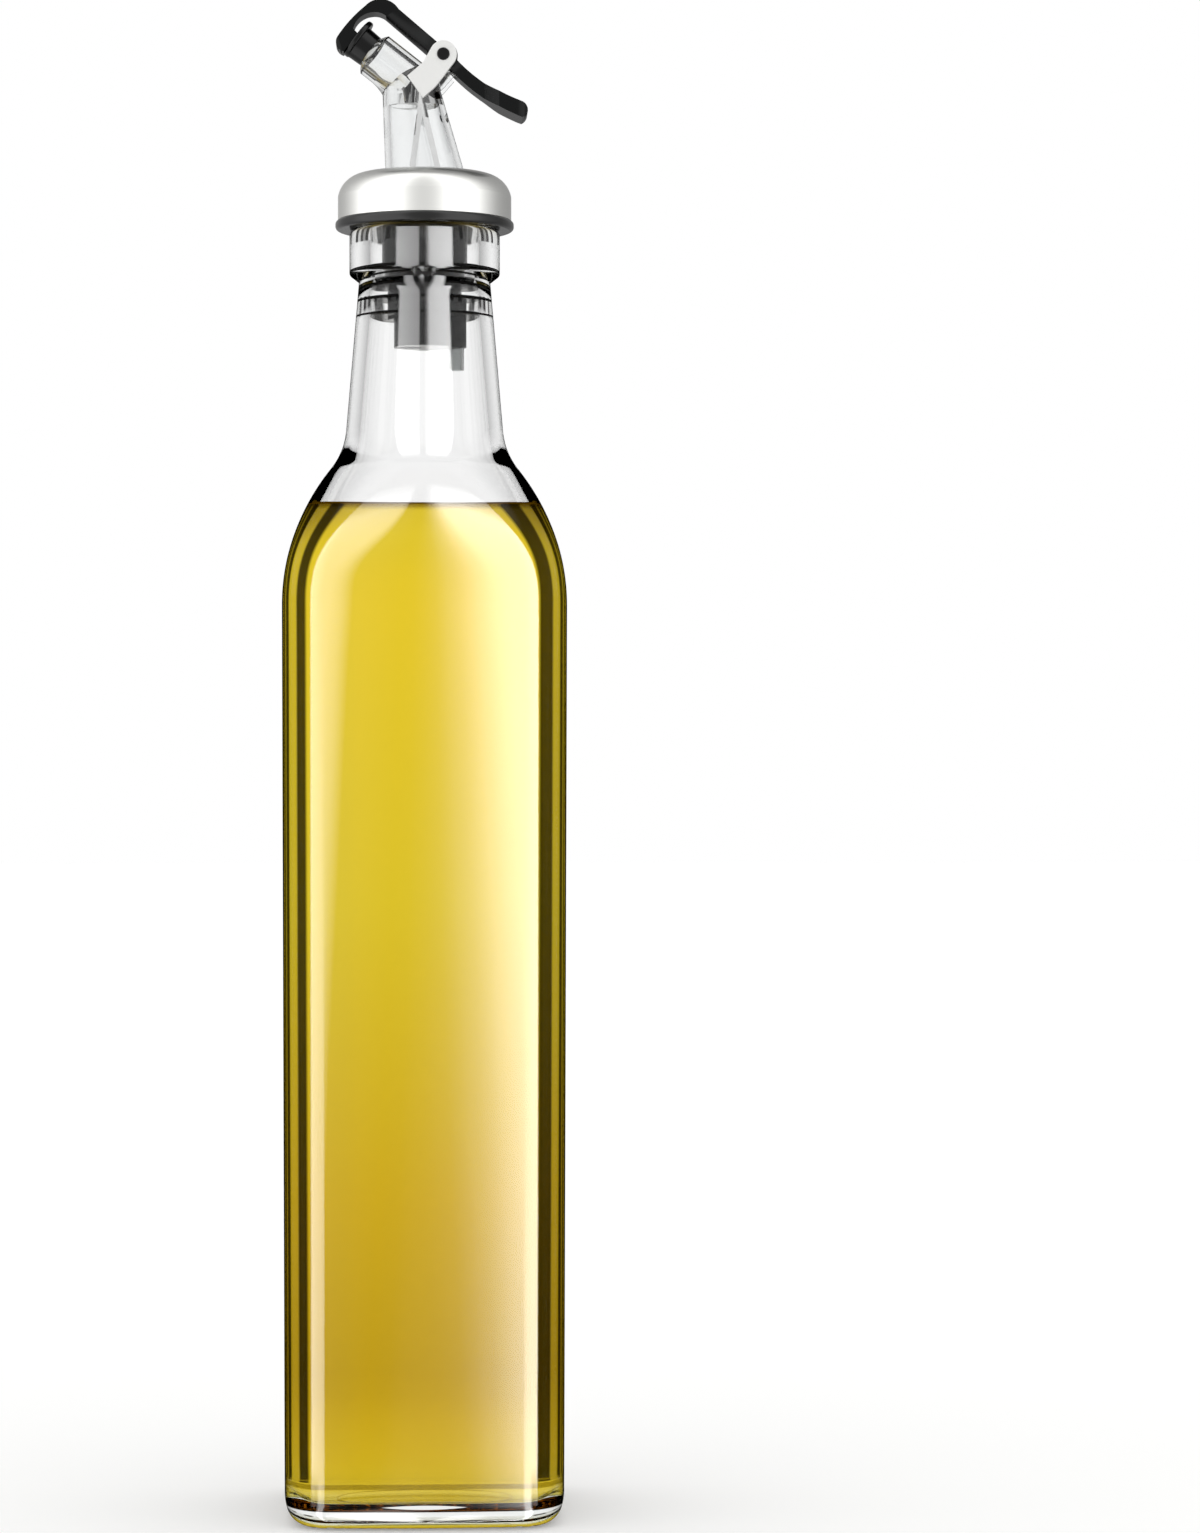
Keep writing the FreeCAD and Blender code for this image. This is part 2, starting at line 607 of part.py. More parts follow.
def lever_plan(box, arm_half):
    """Block as tall as the box, with the lever's outline from above: slim arm, wide tail, round corners."""
    low = box.ZMin - OVERRUN
    root = PIVOT.x + TAIL_ROOT
    end = box.XMax + JOIN
    corner = V(end - TAIL_CORNER_R, TAIL_HALF - TAIL_CORNER_R, low)
    far = [
        V(box.XMin - OVERRUN, arm_half, low),
        V(root, arm_half, low),
        V(root + TAIL_FLARE, TAIL_HALF, low),
        corner + V(0, TAIL_CORNER_R, 0),
        corner + V(1, 1, 0).normalize() * TAIL_CORNER_R,
        corner + V(TAIL_CORNER_R, 0, 0),
    ]
    near = [V(p.x, -p.y, p.z) for p in far]
    edges = line_chain([far[0], near[0]])[:1] + line_chain([far[-1], near[-1]])[:1]
    for side in (far, near):
        edges += line_chain(side[:4])[:3]
        edges.append(arc_through(side[3:]))
    face = Part.Face(Part.Wire(Part.sortEdges(edges)[0]))
    return face.extrude(UP * (box.ZLength + 2 * OVERRUN))


def make_lever():
    """Lever: the side view cut to its outline from above, with a round hub between the ears."""
    plate = slab(lever_outline(), TAIL_HALF)
    arm = plate.common(lever_plan(plate.BoundBox, EAR_INNER - RIB_THICK - SIDE_GAP))
    lever = joined([arm, pivot_cylinder(HUB_R, EAR_INNER - SIDE_GAP)])
    return lever.cut(pivot_cylinder(PIN_R + HUB_FIT, EAR_INNER + OVERRUN))


def make_plug():
    """Silicone plug: tapered body with a dished face, and the flange that the hook's pad holds."""
    body = Part.makeCone(PLUG_R, PLUG_TOP_R, PLUG_LENGTH + OVERRUN, on_nozzle(-OVERRUN, 0), NOZZLE_DIR)
    flange_start = on_nozzle(PLUG_LENGTH, PLUG_FLANGE_OFFSET)
    flange = Part.makeCylinder(PLUG_FLANGE_R, PLUG_FLANGE, flange_start, NOZZLE_DIR)
    flange = flange.makeFillet(PLUG_EDGE_R, round_edges(flange))
    return joined([body, flange]).cut(Part.makeSphere(NOZZLE_DOME_R + PLUG_GAP, MOUTH_DOME))


def main():
    """Build every piece and write it to parts/."""
    os.makedirs("parts", exist_ok=True)
    pieces = {
        "glass_bottle": make_glass(),
        "oil": make_oil(),
        "stopper": make_stopper(),
        "vent_tube": make_vent_tube(),
        "metal_cap": make_cap(),
        "spout": make_spout(),
        "pivot_ear_front": make_ear(-1),
        "pivot_ear_back": make_ear(1),
        "pivot_pin": make_pin(),
        "lever": make_lever(),
        "nozzle_plug": make_plug(),
    }
    for name, shape in pieces.items():
        print(name, len(shape.Solids), shape.isValid(), round(shape.Volume, 1), len(shape.Faces))
        shape.exportStep(os.path.join("parts", name + ".step"))


main()
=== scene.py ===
"""Looks of the oil and vinegar bottle: glass, oil, pourer materials, floor, light and camera.

Lengths in the constants are millimetres, and every mesh is made in metres.
"""
import math

import bmesh
import bpy
import numpy as np
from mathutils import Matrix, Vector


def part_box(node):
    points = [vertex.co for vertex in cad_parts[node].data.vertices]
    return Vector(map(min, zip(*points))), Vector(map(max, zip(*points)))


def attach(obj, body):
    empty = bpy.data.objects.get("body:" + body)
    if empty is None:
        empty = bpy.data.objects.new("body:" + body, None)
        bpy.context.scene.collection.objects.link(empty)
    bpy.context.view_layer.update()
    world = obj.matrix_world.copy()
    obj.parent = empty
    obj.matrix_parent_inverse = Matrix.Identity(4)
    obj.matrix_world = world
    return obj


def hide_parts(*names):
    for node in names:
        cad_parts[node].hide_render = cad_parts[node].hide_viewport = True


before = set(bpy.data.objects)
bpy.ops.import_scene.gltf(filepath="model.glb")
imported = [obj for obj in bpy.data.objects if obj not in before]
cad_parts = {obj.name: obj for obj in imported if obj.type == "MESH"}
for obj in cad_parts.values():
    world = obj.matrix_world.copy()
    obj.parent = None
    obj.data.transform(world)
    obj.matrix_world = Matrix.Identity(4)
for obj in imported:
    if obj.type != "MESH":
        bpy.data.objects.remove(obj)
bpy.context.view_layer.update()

bl_info = {
    "name": "Oil and vinegar bottle",
    "version": (1, 0, 0),
    "blender": (4, 5, 0),
    "location": "View3D > Sidebar > Bottle",
    "description": "Square glass bottle of oil with a lever pourer",
    "category": "Add Mesh",
}

MM = 0.001

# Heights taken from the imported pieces, in millimetres.
GLASS_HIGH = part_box("glass_bottle")[1] / MM
OIL_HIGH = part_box("oil")[1] / MM
STOPPER_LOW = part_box("stopper")[0] / MM

# Outer form of the glass. Its heights are measured down from its top.
SHOULDER_HALF = GLASS_HIGH.x
BASE_HALF = SHOULDER_HALF - 0.6
GLASS_TOP = GLASS_HIGH.z
SHOULDER_Z = GLASS_TOP - 78.4
CORNER_R = 9.0
SIDE_BOW_R = 250.0
HEEL_R = 5.0
SHOULDER_R = 46.0
NECK_FILLET_R = 15.0
NECK_TOP_R = 13.69
NECK_TAPER = 0.0862
NECK_TOP_Z = GLASS_TOP - 10.8
COLLAR_LOW_Z = GLASS_TOP - 9.4
COLLAR_R = 15.66
COLLAR_EDGE_R = 0.9
COLLAR_FOOT_RISE = 0.55
COLLAR_WALL_RISE = 0.7
CREASE = 0.25
MOUTH_R = 11.4
LIP_R = 0.3
LIP_EASE = 0.09
WALL = 2.85
FLOOR = 5.0
INNER_HEEL_R = 5.4

# Underside.
RING_OUTER = BASE_HALF - 5.1
RING_INNER_R = 17.4
RING_DEPTH = 0.6
DOME_RISE = 1.4
KNURL_PITCH = 2.7
KNURL_R = 0.55
KNURL_HALF_RUN = 1.2
KNURL_FADE = 0.3

# Points round each ring of the glass, a multiple of eight so that the corners fall on points.
GLASS_AROUND = 640

# Most that two rings lie apart in height, and the numbers of rings across level and rounded stretches.
BODY_STEP = 12.0
NECK_STEP = 4.0
BORE_STEP = 3.0
COLLAR_STEP = 2.0
CURVE_STEP = 0.6
HEEL_RINGS = 16
DOME_RINGS = 24
BEARING_RINGS = 26
COLLAR_FOOT_RINGS = 7
COLLAR_EDGE_RINGS = 8
LIP_RINGS = 5
CAVITY_FLOOR_RINGS = 16
OIL_FLOOR_RINGS = 14
OIL_TOP_RINGS = 12
# Radius of the first ring under the base, and share of the cavity's outline that the innermost rings keep.
NEARLY_CLOSED = 0.02

# Value that each face of glass and oil carries, which says what it mirrors. It is 0 on a clear face.
MIRROR_MARK = "mirror_mark"
# Faces marked half way mirror in gold: a painted reflection of the oil on the underside and the foot of the
# heel.
PAINTED_GOLD_REFLECTION = 0.5
TOUCHING = 1.0
PAINTED_GOLD_HEEL_RINGS = 5

# How far in from the glass the oil's surface is drawn finely, and its rings there, closest at the glass.
MENISCUS_ZONE = 9.0
MENISCUS_RINGS = 48

# Lever: corners closer than this are one, and edges that turn more degrees than this stay sharp.
MERGE_WITHIN = 0.002
SHARP_FROM = 28.0

# Fin edges of the stopper: place over its lower end, form, and how far they press into the bore.
FIN_COUNT = 4
FIN_PITCH = 3.3
FIN_THICK = 0.8
FIN_START = 6.1
FIN_ROOT = 0.6
FIN_PRESS = 0.12

# Oil colour on the glass, by share of its height. It is painted shade: it deepens from the shoulder down,
# where the floor seen through the body is darker, and lightens just over the floor. The last two stops
# paint the dark line round the edge of its surface, a painted shade.
OIL_PAINTED_SHADE_COLOURS = [
    (0.025, "#E6E4BC"), (0.1, "#DAD2A4"), (0.13, "#CEC49C"), (0.31, "#DED6B8"), (0.61, "#EEF4F0"),
    (0.9, "#F8FCFC"), (0.9948, "#F8FCFC"), (0.9962, "#75681A")]

# Studio, as (degrees, level or colour) pairs. Azimuth is positive towards +X, and 0 is straight to the back
# for what is seen through glass and straight to the front for what is mirrored. Elevation is positive up.

# Through a face of the body, by azimuth in each quarter: white between dark flags.
THROUGH_BODY = [
    (-45.0, 0.34), (-42.0, 0.34), (-40.0, 0.04), (-33.0, 0.04), (-31.0, 0.6), (-23.0, 0.62), (-21.0, 0.06),
    (-12.0, 0.06), (-10.0, 1.0), (12.5, 1.0), (14.5, 0.06), (20.5, 0.06), (22.5, 0.8), (31.0, 0.8),
    (33.0, 0.04), (40.0, 0.04), (42.0, 0.34), (45.0, 0.34)]
# Through the body, by elevation: the white wall, and far down the gold that the oil throws on the floor.
THROUGH_HEIGHT = [
    (-90.0, "#5A4A18"), (-34.0, "#8C7A30"), (-17.0, "#F4F2EC"), (-12.0, "#FBFBF9"), (6.0, "#FFFFFF")]
# How far the flags fade, by elevation, and the level that they fade to.
FLAGS_FADE = [(-45.0, 1.0), (-30.0, 0.0)]
FLAGS_FADED_TO = 0.95
# Through the neck and the pourer, by azimuth: white behind, and greyer round the sides.
THROUGH_NECK = [
    (-180.0, 0.6), (-143.0, 0.5), (-130.0, 0.9), (-90.0, 0.7), (-66.0, 0.4), (-54.0, 0.55), (-30.0, 0.9),
    (-20.0, 1.0), (20.0, 1.0), (30.0, 0.9), (54.0, 0.55), (66.0, 0.4), (90.0, 0.7), (130.0, 0.9),
    (143.0, 0.5), (180.0, 0.6)]
# Elevation from which the neck's surroundings take over from the body's.
NECK_FROM = [(3.0, 0.0), (4.6, 1.0)]
# Mirrored by the glass, by azimuth: tall panels to both sides of the front, as shares of the panel light.
MIRRORED_LOW = [
    (-30.0, 0.0), (-24.0, 0.5), (-20.0, 0.5), (-10.8, 0.42), (-9.7, 0.27), (-8.5, 0.03), (-3.0, 0.005),
    (-0.7, 0.012), (1.9, 0.08), (4.6, 0.27), (7.3, 0.58), (9.4, 0.84), (20.0, 0.96), (24.0, 0.96),
    (30.0, 0.0)]
# The panels are wider over a low elevation, and high up they fade into an even light.
MIRRORED_WIDE = [(-47.0, 0.0), (-43.0, 0.66)] + MIRRORED_LOW[2:-2] + [(42.0, 1.05), (46.0, 0.0)]
PANELS_WIDEN = [(-13.0, 0.0), (-10.5, 1.0)]
PANELS_FADE = [(56.0, 0.0), (68.0, 1.0)]
PANELS_FADED_TO = 0.06
# The panels lean: radians of azimuth for each unit of height below the top of the lean, mirrored about the
# front, with a smooth change of hand there.
PANEL_LEAN = 0.39
PANEL_LEAN_TOP = 0.04
PANEL_HAND_SHARPNESS = 14.0
# Mirrored by the brushed and moulded pieces, by azimuth: softboxes from a third of the way round.
METAL_PANEL_LIGHT = 2.4
MIRRORED_METAL = [
    (-180.0, 0.2), (-130.0, 0.25), (-106.0, 0.45), (-88.0, 1.0), (-33.0, 1.0), (-20.0, 0.4), (18.0, 0.4),
    (29.0, 1.0), (68.0, 1.0), (84.0, 0.5), (110.0, 0.2), (180.0, 0.15)]

# Floor half size and camera, in metres, and the camera's pan in degrees and lens in millimetres.
FLOOR_HALF = 6.0
FLOOR_LIFT = 0.2
CAMERA_HEIGHT = 0.1547
CAMERA_PAN = -2.33
CAMERA_LENS = 101.19
CAMERA_SENSOR = 36.0

# A colour mix node: its settings, and the numbers of its share, its two colours and its result.
COLOUR_MIX = {"data_type": "RGBA"}
COLOUR_TIMES = {"data_type": "RGBA", "blend_type": "MULTIPLY"}
SHARE, FIRST, SECOND, RESULT = 0, 6, 7, 2


def to_linear(hex_colour):
    """Linear colour, with alpha, from an sRGB hex value."""
    channels = [int(hex_colour[i:i + 2], 16) / 255 for i in (1, 3, 5)]
    return tuple(c / 12.92 if c <= 0.04045 else ((c + 0.055) / 1.055) ** 2.4 for c in channels) + (1.0,)


def grey(level):
    """Linear grey of a level, with alpha."""
    return (level, level, level, 1.0)


WHITE = grey(1.0)


# ---------------------------------------------------------------------------
# Form of the glass
# ---------------------------------------------------------------------------

def shoulder_profile():
    """Centre and tangent heights of the concave arc between the shoulder's arc and the neck's line."""
    norm = math.hypot(1, NECK_TAPER)
    foot_r = NECK_TOP_R + NECK_FILLET_R / norm
    foot_z = NECK_TOP_Z + NECK_FILLET_R * NECK_TAPER / norm
    off_r = foot_r - (SHOULDER_HALF - SHOULDER_R)
    off_z = foot_z - SHOULDER_Z
    along = (off_z - off_r * NECK_TAPER) / norm
    across = off_r ** 2 + off_z ** 2 - (SHOULDER_R + NECK_FILLET_R) ** 2
    step = -along + math.sqrt(along ** 2 - across)
    fillet_r = foot_r - step * NECK_TAPER / norm
    fillet_z = foot_z + step / norm
    start_z = SHOULDER_Z + SHOULDER_R / (SHOULDER_R + NECK_FILLET_R) * (fillet_z - SHOULDER_Z)
    return fillet_r, fillet_z, start_z, fillet_z - NECK_FILLET_R * NECK_TAPER / norm


FILLET_R, FILLET_Z, FILLET_START_Z, FILLET_END_Z = shoulder_profile()


def half_width(z):
    """Half the outer width of the glass at height z."""
    if z <= SHOULDER_Z:
        return BASE_HALF + (SHOULDER_HALF - BASE_HALF) * z / SHOULDER_Z
    if z <= FILLET_START_Z:
        return SHOULDER_HALF - SHOULDER_R + math.sqrt(SHOULDER_R ** 2 - (z - SHOULDER_Z) ** 2)
    if z <= FILLET_END_Z:
        return FILLET_R - math.sqrt(NECK_FILLET_R ** 2 - (z - FILLET_Z) ** 2)
    return NECK_TOP_R + NECK_TAPER * (NECK_TOP_Z - z)


def roundness(z):
    """0 where the section is the body's rounded square, 1 where it is the neck's circle."""
    share = min(max((z - SHOULDER_Z) / (FILLET_END_Z - SHOULDER_Z), 0), 1)
    return (share * share * (3 - 2 * share)) ** 2


def outline(half, side_r, corner, count):
    """Points of a closed section: four bowed sides of radius side_r and four corner arcs.

    Half is the half width at the middle of a side. A corner as large as the side makes a circle.
    """
    eighth = count // 8
    side_points = eighth // 3
    shift = half - side_r
    gap = side_r - corner
    if gap < 1e-6:
        angles = np.arange(count) * 2 * math.pi / count
        return half * np.stack([np.cos(angles), np.sin(angles)], 1)
    centre = (shift + math.sqrt(2 * gap ** 2 - shift ** 2)) / 2
    turn = math.asin(centre / gap)
    angles = turn * np.arange(side_points) / side_points
    side = np.stack([shift + side_r * np.cos(angles), side_r * np.sin(angles)], 1)
    angles = turn + (math.pi / 4 - turn) * np.arange(eighth - side_points) / (eighth - side_points)
    arc = centre + corner * np.stack([np.cos(angles), np.sin(angles)], 1)
    half_side = np.concatenate([side, arc])
    # The next eighth mirrors this one about the corner's diagonal.
    diagonal = np.array([[centre + corner / math.sqrt(2)] * 2])
    quarter = np.concatenate([half_side, diagonal, half_side[:0:-1, ::-1]])
    points = []
    for k in range(4):
        c, s = round(math.cos(k * math.pi / 2)), round(math.sin(k * math.pi / 2))
        points.append(quarter @ np.array([[c, s], [-s, c]]))
    return np.concatenate(points)


def glass_ring(z, inset, count=GLASS_AROUND, drop=None):
    """One ring of the glass's form at height z, moved in by inset. Drop is the height it is drawn at."""
    outer = half_width(z)
    bend = roundness(z)
    side_r = 1 / ((1 - bend) / SIDE_BOW_R + bend / outer) - inset
    corner = CORNER_R + (outer - CORNER_R) * bend - inset
    xy = outline(outer - inset, side_r, corner, count)
    return np.concatenate([xy, np.full((count, 1), z if drop is None else drop)], 1)


def circle_ring(radius, z, count=GLASS_AROUND):
    """A round ring at height z, with its points spread as the sections spread theirs."""
    angles = np.arange(count) * 2 * math.pi / count
    return np.stack([radius * np.cos(angles), radius * np.sin(angles), np.full(count, z)], 1)


def lathe_mesh(name, rings, closed=True, touching=None, painted_gold_rings=0):
    """Mesh from stacked rings of equal length.

    Touching is the pair of rings between which glass and oil touch, and the first rings may mirror in
    painted gold.
    """
    count = len(rings[0])
    points = np.concatenate(rings) * MM
    index = np.arange(count)
    after = (index + 1) % count
    faces = []
    for k in range(len(rings) - 1):
        low, high = k * count, (k + 1) * count
        faces.append(np.stack([low + index, low + after, high + after, high + index], 1))
    if closed:
        low, high = (len(rings) - 1) * count, 0
        faces.append(np.stack([low + index, low + after, high + after, high + index], 1))
    quads = np.concatenate(faces)
    mesh = bpy.data.meshes.new(name)
    mesh.vertices.add(len(points))
    mesh.vertices.foreach_set("co", points.ravel())
    mesh.loops.add(quads.size)
    mesh.loops.foreach_set("vertex_index", quads.ravel())
    mesh.polygons.add(len(quads))
    mesh.polygons.foreach_set("loop_start", np.arange(0, quads.size, 4))
    mesh.polygons.foreach_set("use_smooth", np.ones(len(quads), bool))
    mesh.update(calc_edges=True)
    mesh.validate()
    if touching is not None:
        strip = np.arange(len(quads)) // count
        value = np.where((strip >= touching[0]) & (strip < touching[1]), TOUCHING, 0.0)
        mark = mesh.attributes.new(MIRROR_MARK, "FLOAT", "FACE")
        mark.data.foreach_set("value", np.where(strip < painted_gold_rings, PAINTED_GOLD_REFLECTION, value))
    return mesh


def place(name, mesh, body, slot_name, material, *nodes):
    """Shown piece from a mesh: it rides on a body, takes a material and stands for CAD nodes."""
    piece = bpy.data.objects.new(name, mesh)
    bpy.context.scene.collection.objects.link(piece)
    piece.data.materials.append(material)
    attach(piece, body)
    if nodes:
        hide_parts(*nodes)
    return piece


def heights_between(low, high, step):
    """Evenly spaced heights from low to high, at most step apart."""
    return np.linspace(low, high, max(2, int(math.ceil((high - low) / step)) + 1))


def quarter_turn(steps):
    """Sines and cosines of a quarter turn, from 0 to 90 degrees."""
    angles = np.linspace(0, math.pi / 2, steps)
    return np.sin(angles), np.cos(angles)


# ---------------------------------------------------------------------------
# Materials
# ---------------------------------------------------------------------------

def add_node(tree, kind, settings=None, inputs=None, stops=None, **values):
    """Adds a node to a tree.

    Settings are the node's own properties. Inputs are (output or value, input's name or number) pairs, and
    values are more inputs by name. Stops are the (position, hex colour or level) pairs of a colour ramp.
    """
    node = tree.nodes.new(kind)
    for key, value in (settings or {}).items():
        setattr(node, key, value)
    named = [(value, key.replace("_", " ")) for key, value in values.items()]
    for source, target in (inputs or []) + named:
        if isinstance(source, bpy.types.NodeSocket):
            tree.links.new(source, node.inputs[target])
        else:
            node.inputs[target].default_value = source
    if stops:
        elements = node.color_ramp.elements
        while len(elements) < len(stops):
            elements.new(0.5)
        for element, (position, colour) in zip(elements, stops):
            element.position = position
            element.color = to_linear(colour) if isinstance(colour, str) else grey(colour)
    return node


def new_material(name, **values):
    """Material whose Principled shader takes the values on its own sockets, with its tree and shader."""
    material = bpy.data.materials.new(name)
    material.use_nodes = True
    tree = material.node_tree
    shader = tree.nodes["Principled BSDF"]
    for key, value in values.items():
        shader.inputs[key.replace("_", " ")].default_value = value
    return material, tree, shader


def grain_bump(tree, shader, spacing, depth, strength=1.0, detail=2.0):
    """Fine relief on a shader: noise with bumps spacing millimetres apart and depth millimetres high."""
    where = add_node(tree, "ShaderNodeTexCoord")
    noise = add_node(tree, "ShaderNodeTexNoise", None, [(where.outputs["Object"], "Vector")],
                     Scale=1 / (spacing * MM), Detail=detail)
    bump = add_node(tree, "ShaderNodeBump", None, [(noise.outputs["Fac"], "Height")],
                    Strength=strength, Distance=depth * MM)
    tree.links.new(bump.outputs["Normal"], shader.inputs["Normal"])


def absorb(tree, colour, density):
    """Clear body that takes the share of light that colour lacks, density times in each metre."""
    body = add_node(tree, "ShaderNodeVolumeAbsorption", Color=colour, Density=density)
    tree.links.new(body.outputs["Volume"], tree.nodes["Material Output"].inputs["Volume"])


def tint_mirror(tree, shader):
    """Tints what a face mirrors by its mark, and returns the mark.

    Oil bends light nearly as glass does, so where they touch neither mirrors. The underside mirrors in
    gold, a painted reflection of the oil's gold.
    """
    mark = add_node(tree, "ShaderNodeAttribute", {"attribute_name": MIRROR_MARK}).outputs["Fac"]
    # Gold where marked half way is a painted reflection; black where glass and oil touch.
    tint = add_node(tree, "ShaderNodeValToRGB", None, [(mark, "Fac")],
                    [(0.0, "#FFFFFF"), (PAINTED_GOLD_REFLECTION, "#B9A046"), (TOUCHING, "#000000")])
    tree.links.new(tint.outputs["Color"], shader.inputs["Specular Tint"])
    return mark


def flint_glass():
    """Soda-lime flint glass, blown in a mould and fire-polished: colourless, clear, very slightly wavy."""
    material, tree, shader = new_material(
        "flint_glass", Base_Color=to_linear("#FFFFFF"), Roughness=0.0, IOR=1.52, Transmission_Weight=1.0)
    tint_mirror(tree, shader)
    grain_bump(tree, shader, spacing=22, depth=0.03, strength=0.5, detail=0.0)
    # Iron in the glass takes a little red, which shows only where light runs along a wall.
    absorb(tree, to_linear("#C9D8CF"), 3.0)
    return material


def golden_oil():
    """Refined cooking oil: clear and golden, it takes nearly all the blue within the bottle's width."""
    material, tree, shader = new_material(
        "golden_oil", Roughness=0.0, IOR=1.47, Transmission_Weight=1.0)
    mark = tint_mirror(tree, shader)
    absorb(tree, to_linear("#FCF25E"), 76.5)
    where = add_node(tree, "ShaderNodeTexCoord")
    parts = add_node(tree, "ShaderNodeSeparateXYZ", None, [(where.outputs["Object"], "Vector")])
    height = add_node(tree, "ShaderNodeMath", {"operation": "DIVIDE"},
                      [(parts.outputs["Z"], 0), (OIL_HIGH.z * MM, 1)])
    # Painted shade by height: the oil darkens towards its base, and a dark line is painted round its edge.
    depth = add_node(tree, "ShaderNodeValToRGB", None, [(height.outputs["Value"], "Fac")], OIL_PAINTED_SHADE_COLOURS)
    # The open surface stays clear.
    walls = add_node(tree, "ShaderNodeMix", COLOUR_MIX,
                     [(mark, SHARE), (WHITE, FIRST), (depth.outputs["Color"], SECOND)])
    tree.links.new(walls.outputs[RESULT], shader.inputs["Base Color"])
    return material


def stopper_rubber():
    """Moulded thermoplastic rubber: near black, with a satin skin."""
    material, tree, shader = new_material(
        "stopper_rubber", Base_Color=to_linear("#0C0C0B"), Roughness=0.25, IOR=1.52,
        Specular_IOR_Level=0.3, Coat_Weight=0.1, Coat_Roughness=0.2)
    grain_bump(tree, shader, spacing=0.6, depth=0.01, strength=0.3)
    return material


def tube_plastic():
    """Extruded soft PVC: clear, faintly grey, with fine lines along its length."""
    material, tree, shader = new_material(
        "tube_plastic", Base_Color=to_linear("#D3D6D6"), Roughness=0.15, IOR=1.53,
        Transmission_Weight=0.85)
    grain_bump(tree, shader, spacing=0.8, depth=0.01, strength=0.3)
    return material


def brushed_steel():
    """Stainless steel, spun and brushed round its axis: fine turned lines that draw lights into bands."""
    material, tree, shader = new_material(
        "brushed_steel", Base_Color=to_linear("#CFCFCC"), Metallic=1.0, Roughness=0.3, Anisotropic=0.6)
    where = add_node(tree, "ShaderNodeTexCoord")
    parts = add_node(tree, "ShaderNodeSeparateXYZ", None, [(where.outputs["Object"], "Vector")])
    flat = add_node(tree, "ShaderNodeCombineXYZ", None,
                    [(parts.outputs["X"], "X"), (parts.outputs["Y"], "Y")])
    radius = add_node(tree, "ShaderNodeVectorMath", {"operation": "LENGTH"},
                      [(flat.outputs["Vector"], "Vector")])
    turned = add_node(tree, "ShaderNodeCombineXYZ", None,
                      [(radius.outputs["Value"], "X"), (parts.outputs["Z"], "Y")])
    # Brush lines lie about 0.15 mm apart on such caps. They are 0.25 mm apart here, so that they show.
    lines = add_node(tree, "ShaderNodeTexNoise", None, [(turned.outputs["Vector"], "Vector")],
                     Scale=1 / (0.25 * MM), Detail=3.0)
    bump = add_node(tree, "ShaderNodeBump", None, [(lines.outputs["Fac"], "Height")],
                    Strength=0.35, Distance=0.01 * MM)
    tree.links.new(bump.outputs["Normal"], shader.inputs["Normal"])
    tangent = add_node(tree, "ShaderNodeTangent", {"direction_type": "RADIAL", "axis": "Z"})
    tree.links.new(tangent.outputs["Tangent"], shader.inputs["Tangent"])
    return material


def clear_plastic():
    """Injection-moulded SAN: clear, glossy, greyer where light runs along a wall, with a trace of flow."""
    material, tree, shader = new_material(
        "clear_plastic", Base_Color=to_linear("#FBFCFC"), Roughness=0.02, IOR=1.49,
        Transmission_Weight=1.0)
    grain_bump(tree, shader, spacing=3.0, depth=0.01, strength=0.3, detail=0.0)
    absorb(tree, to_linear("#858585"), 40.0)
    return material


def white_plastic():
    """Injection-moulded white ABS: opaque and glossy."""
    material, tree, shader = new_material(
        "white_plastic", Base_Color=to_linear("#F0F0EE"), Roughness=0.28, IOR=1.53)
    grain_bump(tree, shader, spacing=0.5, depth=0.005, strength=0.3)
    return material


def pin_plastic():
    """Moulded black acetal: smooth and glossy."""
    material, tree, shader = new_material(
        "pin_plastic", Base_Color=to_linear("#080808"), Roughness=0.25, IOR=1.48, Specular_IOR_Level=0.2)
    grain_bump(tree, shader, spacing=0.4, depth=0.004, strength=0.3)
    return material


def lever_plastic():
    """Moulded black ABS: semi-gloss, with a fine spark-eroded grain."""
    material, tree, shader = new_material(
        "lever_plastic", Base_Color=to_linear("#070808"), Roughness=0.33, IOR=1.53, Specular_IOR_Level=0.12)
    grain_bump(tree, shader, spacing=0.35, depth=0.012, strength=0.5)
    return material


def plug_silicone():
    """Moulded black silicone: soft, with a glossy skin."""
    material, tree, shader = new_material(
        "plug_silicone", Base_Color=to_linear("#070707"), Roughness=0.18, IOR=1.43, Specular_IOR_Level=0.25)
    grain_bump(tree, shader, spacing=0.8, depth=0.01, strength=0.3)
    return material


# ---------------------------------------------------------------------------
# Settings
# ---------------------------------------------------------------------------

class BottleOilSettings(bpy.types.PropertyGroup):
    """Sizes of the oil's surface."""
    meniscus_rise: bpy.props.FloatProperty(
        name="Meniscus rise", description="How far the oil climbs the glass at its edge, in millimetres",
        default=0.5, min=0, max=5)
    meniscus_reach: bpy.props.FloatProperty(
        name="Meniscus reach", description="How far from the glass the rise fades, in millimetres",
        default=0.8, min=0.2, max=5)
    wall_overlap: bpy.props.FloatProperty(
        name="Wall overlap", description="How far the oil reaches into the glass, in millimetres",
        default=0.08, min=0.01, max=0.5)


class BottleStageSettings(bpy.types.PropertyGroup):
    """Light and floor."""
    background_light: bpy.props.FloatProperty(
        name="Background light", description="Light of the white background behind the glass",
        default=1.0, min=0)
    panel_light: bpy.props.FloatProperty(
        name="Panel light", description="Light of the tall panels that the glass mirrors",
        default=14.0, min=0)
    camera_distance: bpy.props.FloatProperty(
        name="Camera distance", description="From the bottle's axis to the camera", default=0.9,
        unit="LENGTH")


# ---------------------------------------------------------------------------
# Operators
# ---------------------------------------------------------------------------

